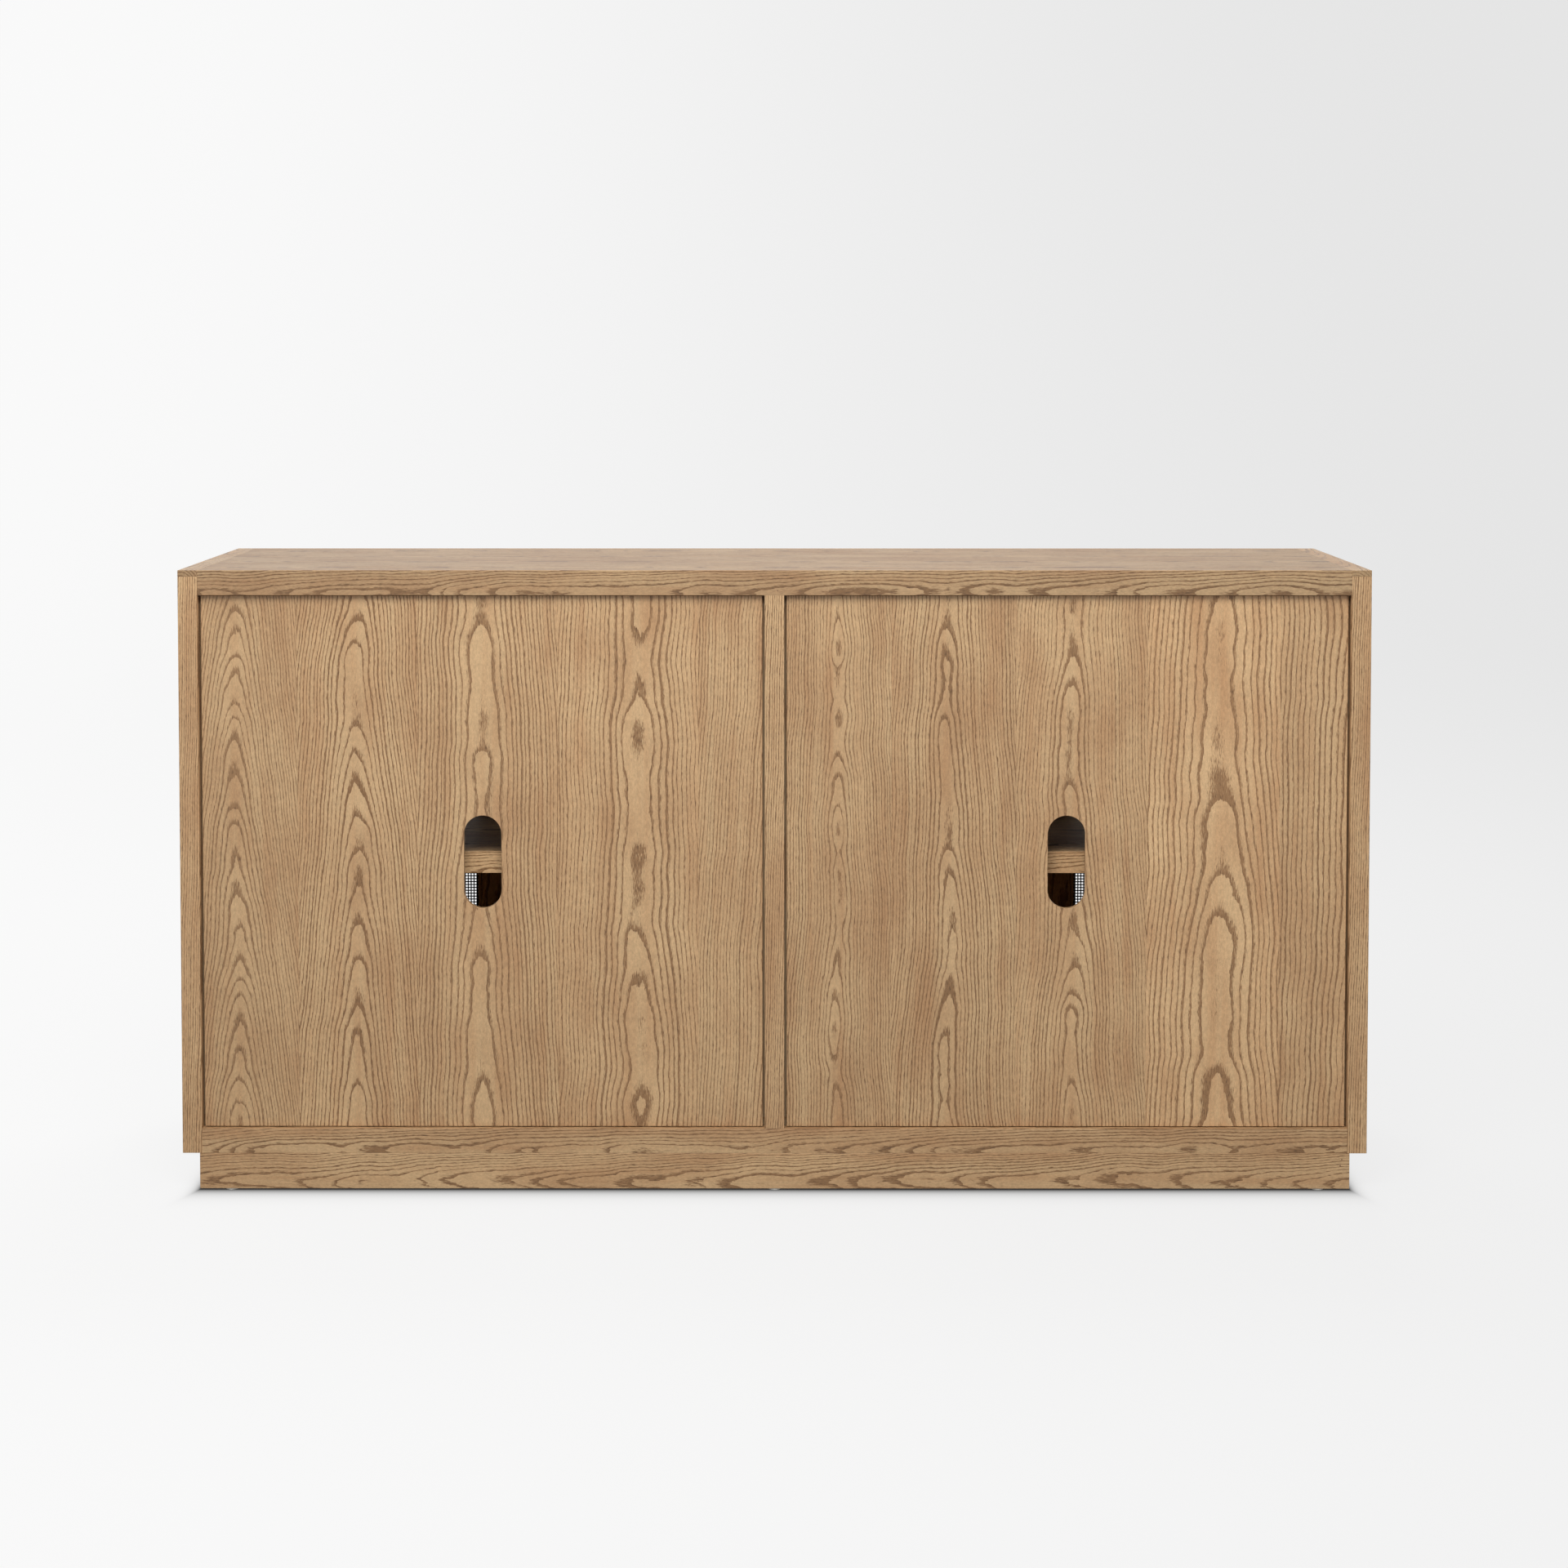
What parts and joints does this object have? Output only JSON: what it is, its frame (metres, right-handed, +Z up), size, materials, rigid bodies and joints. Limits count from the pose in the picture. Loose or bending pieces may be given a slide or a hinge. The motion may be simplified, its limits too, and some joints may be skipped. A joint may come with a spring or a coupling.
{
  "type": "media cabinet",
  "caption": "Low veneered media cabinet on a plinth: framed wire-mesh doors on butt hinges, shelves on pins, and a let-in back with cable slots.",
  "frame": {"origin": "on the floor, under the middle of the case's width and depth", "axes": "+Z up; -Y out of the doors, so +Y out of the back; +X along the width, to the right seen from the doors"},
  "size_m": [1.524, 0.45, 0.8],
  "materials": {
    "veneered_ash": "stained ash veneer under a matt lacquer",
    "solid_ash": "stained solid ash under a matt lacquer",
    "bare_timber": "planed, unfinished",
    "beech_dowel": "fluted beech, unfinished",
    "screw_steel": "zinc plated",
    "nickel_pin": "nickel plated",
    "glide_nylon": "moulded nylon",
    "catch_housing": "moulded brown plastic with steel-faced magnets",
    "hinge_steel": "blackened steel",
    "black_wire": "matt black powder coat",
    "black_metal": "satin black powder coat"
  },
  "bodies": {
    "cabinet": {"top_panel": "veneered_ash", "bottom_panel": "veneered_ash", "left_side_panel": "veneered_ash", "right_side_panel": "veneered_ash", "side_top_lippings": "veneered_ash", "centre_partition": "veneered_ash", "left_back_panel": "veneered_ash", "right_back_panel": "veneered_ash", "left_back_cleats": "bare_timber", "right_back_cleats": "bare_timber", "back_screws": "screw_steel", "left_shelf": "veneered_ash", "right_shelf": "veneered_ash", "shelf_pins": "nickel_pin", "plinth_front_rail": "veneered_ash", "plinth_rear_rail": "veneered_ash", "plinth_left_end": "veneered_ash", "plinth_right_end": "veneered_ash", "plinth_braces": "bare_timber", "plinth_corner_blocks": "bare_timber", "plinth_screws": "screw_steel", "floor_glides": "glide_nylon", "case_dowels": "beech_dowel", "magnetic_catches": "catch_housing", "case_hinge_leaves": "hinge_steel", "hinge_pins": "hinge_steel", "case_hinge_screws": "screw_steel", "edge_brads": "screw_steel"},
    "door_outer_left": {"door_outer_left_hinge_stile": "solid_ash", "door_outer_left_meeting_stile": "solid_ash", "door_outer_left_rails": "solid_ash", "door_outer_left_wire_mesh": "black_wire", "door_outer_left_mesh_beads": "solid_ash", "door_outer_left_knob": "black_metal", "door_outer_left_hinge_leaves": "hinge_steel", "door_outer_left_fixings": "screw_steel"},
    "door_inner_left": {"door_inner_left_hinge_stile": "solid_ash", "door_inner_left_meeting_stile": "solid_ash", "door_inner_left_rails": "solid_ash", "door_inner_left_wire_mesh": "black_wire", "door_inner_left_mesh_beads": "solid_ash", "door_inner_left_knob": "black_metal", "door_inner_left_hinge_leaves": "hinge_steel", "door_inner_left_fixings": "screw_steel"},
    "door_inner_right": {"door_inner_right_hinge_stile": "solid_ash", "door_inner_right_meeting_stile": "solid_ash", "door_inner_right_rails": "solid_ash", "door_inner_right_wire_mesh": "black_wire", "door_inner_right_mesh_beads": "solid_ash", "door_inner_right_knob": "black_metal", "door_inner_right_hinge_leaves": "hinge_steel", "door_inner_right_fixings": "screw_steel"},
    "door_outer_right": {"door_outer_right_hinge_stile": "solid_ash", "door_outer_right_meeting_stile": "solid_ash", "door_outer_right_rails": "solid_ash", "door_outer_right_wire_mesh": "black_wire", "door_outer_right_mesh_beads": "solid_ash", "door_outer_right_knob": "black_metal", "door_outer_right_hinge_leaves": "hinge_steel", "door_outer_right_fixings": "screw_steel"}
  },
  "joints": [
    {"name": "door_outer_left_hinge", "type": "hinge", "parent": "cabinet", "child": "door_outer_left", "pos_m": [-0.736, -0.2195, 0.424], "axis": [0, 0, -1], "range_deg": [0, 110]},
    {"name": "door_inner_left_hinge", "type": "hinge", "parent": "cabinet", "child": "door_inner_left", "pos_m": [-0.0135, -0.2195, 0.424], "axis": [0, 0, 1], "range_deg": [0, 88]},
    {"name": "door_inner_right_hinge", "type": "hinge", "parent": "cabinet", "child": "door_inner_right", "pos_m": [0.0135, -0.2195, 0.424], "axis": [0, 0, -1], "range_deg": [0, 88]},
    {"name": "door_outer_right_hinge", "type": "hinge", "parent": "cabinet", "child": "door_outer_right", "pos_m": [0.736, -0.2195, 0.424], "axis": [0, 0, 1], "range_deg": [0, 110]}
  ]
}
